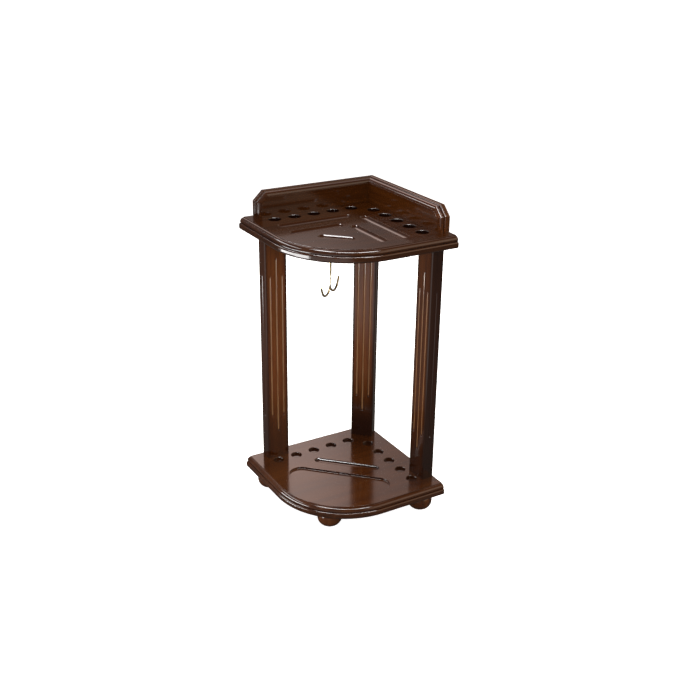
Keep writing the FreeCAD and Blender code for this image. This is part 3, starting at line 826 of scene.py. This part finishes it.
class RACK_OT_pads(bpy.types.Operator):
    """Make the felt pads under the feet, with soft edges and a fibrous surface"""
    bl_idname = "rack.pads"
    bl_label = "Make the felt pads"

    def execute(self, context):
        sizes = context.scene.rack_sizes
        pads = solid_boxes("foot_pads", 0.04)
        low, high = pads[0]
        radius, thick, rim = (high.x - low.x) / 2, high.z - low.z, sizes.pad_rim
        levels = [(0, radius * part) for part in (0.2, 0.4, 0.6, 0.8)]
        for step in range(7):
            turn = math.radians(15 * step)
            levels.append((rim - rim * math.cos(turn), radius - rim + rim * math.sin(turn)))
        levels += [(thick * part, radius) for part in (0.45, 0.6, 0.75)]
        levels += [(thick, radius), (thick, radius * 0.8), (thick, radius * 0.4)]
        stock = turned("felt_pad_stock", levels, 72)
        for vertex in stock.data.vertices:
            spot = vertex.co
            if 0 < spot.z < thick:
                fibre = noise.noise(spot * 1900) + 0.6 * noise.noise(spot * 4300)
                pull = 1 - sizes.pad_fuzz * (0.5 + 0.5 * fibre) / radius
                vertex.co = (spot.x * pull, spot.y * pull, spot.z)
        cloth = felt(context.scene.rack_colours)
        piece = set_out("foot_pad_set", stock, [foot_of(pad) for pad in pads], UPWARD, cloth)
        settle(piece, "rack", "felt", "foot_pads")
        return {"FINISHED"}


def add_sheet_of_floor(name, height, paint):
    mesh = bpy.data.meshes.new(name)
    signs = ((-1, -1), (1, -1), (1, 1), (-1, 1))
    corners = [(east * FLOOR_REACH, north * FLOOR_REACH, height) for east, north in signs]
    mesh.from_pydata(corners, [], [(0, 1, 2, 3)])
    mesh.materials.append(paint)
    sheet = bpy.data.objects.new(name, mesh)
    bpy.context.scene.collection.objects.link(sheet)
    return sheet


def add_floor(settings):
    """A pale floor for the camera, and a grey card just under it for the light that the rack gets back.

    The floor is clear from below, so the underside of the rack can be looked at.
    """
    paint = Finish("floor_paint")
    cloud = paint.noise(paint.place(), 3.0, 3.0)
    below = paint.node("ShaderNodeNewGeometry", output=6)
    pale = paint.surface(
        Base_Color=colour(settings.floor), Roughness=0.85 + 0.05 * cloud, Alpha=1.0 - below,
        Emission_Color=(1, 1, 1, 1), Emission_Strength=settings.floor_glow)
    floor = add_sheet_of_floor("floor", 0.0, pale)
    floor.visible_glossy = False
    floor.visible_diffuse = False
    card = Finish("floor_card")
    cloud = card.noise(card.place(), 3.0, 3.0)
    along = card.place(turn=(0, 0, -settings.heading))
    ahead, side = card.part(along, 0), card.part(along, 1)
    patch = card.shape(ahead, -0.5, -1.0) * card.shape(side, -0.7, 0.1)
    glow = card.mix(patch, colour((0.08, 0.075, 0.07)), colour((1, 1, 1)))
    grey = card.surface(
        Base_Color=(0.03, 0.028, 0.026, 1.0), Roughness=0.85 + 0.05 * cloud,
        Emission_Color=glow, Emission_Strength=0.5)
    under = add_sheet_of_floor("floor_card", -CARD_DROP, grey)
    under.visible_camera = False
    under.visible_shadow = False


def add_shell():
    """A pale shell far round the scene, which only the camera sees."""
    paint = Finish("shell_paint")
    pale = paint.surface(
        Base_Color=(0.0, 0.0, 0.0, 1.0), Roughness=1.0, Emission_Color=(1, 1, 1, 1), Emission_Strength=1.0)
    levels = []
    for step in range(1, 36):
        turn = math.radians(5 * step - 90)
        levels.append((SHELL_REACH * math.sin(turn), SHELL_REACH * math.cos(turn)))
    shell = turned("shell", levels, 72)
    shell.data.materials.append(pale)
    shell.visible_glossy = False
    shell.visible_diffuse = False
    shell.visible_shadow = False
    shell.visible_transmission = False


def add_softbox(name, power, centre, target, width, height, mirrored):
    """A rectangular lamp that faces its target. Gloss shows it only if it is mirrored."""
    light = bpy.data.lights.new(name, "AREA")
    light.shape = "RECTANGLE"
    light.size = width
    light.size_y = height
    light.energy = power
    lamp = bpy.data.objects.new(name, light)
    look = Vector(target) - Vector(centre)
    lamp.matrix_world = Matrix.Translation(centre) @ look.to_track_quat("-Z", "Y").to_matrix().to_4x4()
    lamp.visible_glossy = mirrored
    lamp.visible_camera = False
    bpy.context.scene.collection.objects.link(lamp)


def polar(heading, height, distance, centre):
    """A point seen from centre at that heading and height, both in degrees."""
    level = math.cos(math.radians(height)) * distance
    turn = math.radians(heading)
    offset = (level * math.cos(turn), level * math.sin(turn), math.sin(math.radians(height)) * distance)
    return tuple(Vector(centre) + Vector(offset))


def light_world(settings):
    """A backdrop that is bright behind the rack and dimmer in front of it."""
    world = bpy.data.worlds.new("studio")
    bpy.context.scene.world = world
    world.use_nodes = True
    sky = Finish("studio", world.node_tree)
    direction = sky.node("ShaderNodeTexCoord", output=0)
    seen = sky.node(
        "ShaderNodeMapping", {"vector_type": "NORMAL"},
        {"Vector": direction, "Rotation": (0, 0, -settings.heading)})
    ahead, left, up = (sky.part(seen, axis) for axis in range(3))
    aside = sky.size_of(left)
    panel = sky.shape(ahead, 0.20, 0.5) * sky.shape(up, 0.25, 0.45) * sky.shape(up, 0.92, 0.78)
    panel = panel * sky.shape(aside, 0.42, 0.20) * (0.30 + 0.70 * sky.shape(left, -0.045, 0.06))
    warm = sky.shape(left, -0.35, -0.75) * sky.shape(up, 0.05, 0.25) * sky.shape(up, 0.85, 0.65)
    base = sky.mix(sky.shape(left, -0.5, 0.5), (0.07, 0.052, 0.044, 1), (0.15, 0.14, 0.14, 1))
    base = sky.mix(warm, base, (0.95, 0.74, 0.56, 1))
    tint = sky.mix(panel, base, (1.82, 1.42, 1.30, 1))
    glow = sky.node("ShaderNodeBackground", inputs={"Color": tint, "Strength": settings.sky})
    sky.node("ShaderNodeOutputWorld", inputs={"Surface": glow})


def add_camera(settings):
    camera = bpy.data.cameras.new("camera")
    camera.lens = settings.lens
    camera.sensor_width = 36.0
    camera.clip_end = 200.0
    holder = bpy.data.objects.new("camera", camera)
    bpy.context.scene.collection.objects.link(holder)
    level = math.cos(settings.dip)
    across, forward = math.cos(settings.heading) * level, math.sin(settings.heading) * level
    ahead = Vector((across, forward, -math.sin(settings.dip)))
    right = ahead.cross(Vector((0, 0, 1))).normalized()
    up = right.cross(ahead)
    side = math.cos(settings.roll) * right + math.sin(settings.roll) * up
    top = side.cross(ahead)
    turn = Matrix((side, top, -ahead)).transposed().to_4x4()
    holder.matrix_world = Matrix.Translation(settings.eye) @ turn
    bpy.context.scene.camera = holder


class RACK_OT_stage(bpy.types.Operator):
    """Set out the floor, softboxes, backdrop and camera"""
    bl_idname = "rack.stage"
    bl_label = "Set the stage"

    def execute(self, context):
        settings = context.scene.rack_stage
        context.scene.view_settings.view_transform = "Standard"
        add_floor(settings)
        add_shell()
        light_world(settings)
        middle = (0, 0, 0.5)
        # name, power, heading and height in degrees, distance, width, height of the face, in the gloss
        boxes = (
            ("left_softbox", settings.left_box, 142, 36, 2.6, 2.2, 0.45, True),
            ("front_softbox", settings.front_box, -80, 60, 2.8, 1.0, 0.5, True),
            ("top_softbox", settings.top_box, -175, 68, 2.6, 0.9, 0.45, True),
            ("key_softbox", settings.key_box, -122, 62, 2.6, 0.75, 0.35, True),
            ("low_softbox", settings.low_box, 165, -12, 1.7, 1.5, 0.45, True),
            ("fill_softbox", settings.fill_box, -118, 24, 2.9, 1.9, 1.0, False),
            ("back_softbox", settings.back_box, 48, 16, 2.6, 2.4, 1.0, False))
        for name, power, heading, height, distance, width, tall, mirrored in boxes:
            centre = polar(heading, height, distance, middle)
            add_softbox(name, power, centre, middle, width, tall, mirrored)
        add_camera(settings)
        return {"FINISHED"}


class RACK_PT_panel(bpy.types.Panel):
    """Sidebar panel of the cue rack"""
    bl_idname = "RACK_PT_panel"
    bl_label = "Corner Cue Rack"
    bl_space_type = "VIEW_3D"
    bl_region_type = "UI"
    bl_category = "Cue Rack"

    def draw(self, context):
        layout = self.layout
        for group in (context.scene.rack_sizes, context.scene.rack_colours, context.scene.rack_stage):
            for name in group.__annotations__:
                layout.prop(group, name)
        for operator in STEPS:
            layout.operator(operator.bl_idname)


STEPS = (
    RACK_OT_shelves, RACK_OT_posts, RACK_OT_gallery, RACK_OT_feet, RACK_OT_hook, RACK_OT_screws,
    RACK_OT_dowels, RACK_OT_foot_fasteners, RACK_OT_pads, RACK_OT_stage)
CLASSES = (RackSizes, RackColours, StageSettings, *STEPS, RACK_PT_panel)


def register():
    for item in CLASSES:
        bpy.utils.register_class(item)
    bpy.types.Scene.rack_sizes = bpy.props.PointerProperty(type=RackSizes)
    bpy.types.Scene.rack_colours = bpy.props.PointerProperty(type=RackColours)
    bpy.types.Scene.rack_stage = bpy.props.PointerProperty(type=StageSettings)


def unregister():
    del bpy.types.Scene.rack_stage
    del bpy.types.Scene.rack_colours
    del bpy.types.Scene.rack_sizes
    for item in reversed(CLASSES):
        bpy.utils.unregister_class(item)


def main():
    register()
    bpy.ops.rack.shelves()
    bpy.ops.rack.posts()
    bpy.ops.rack.gallery()
    bpy.ops.rack.feet()
    bpy.ops.rack.hook()
    bpy.ops.rack.screws()
    bpy.ops.rack.dowels()
    bpy.ops.rack.foot_fasteners()
    bpy.ops.rack.pads()
    bpy.ops.rack.stage()


if __name__ == "__main__":
    main()
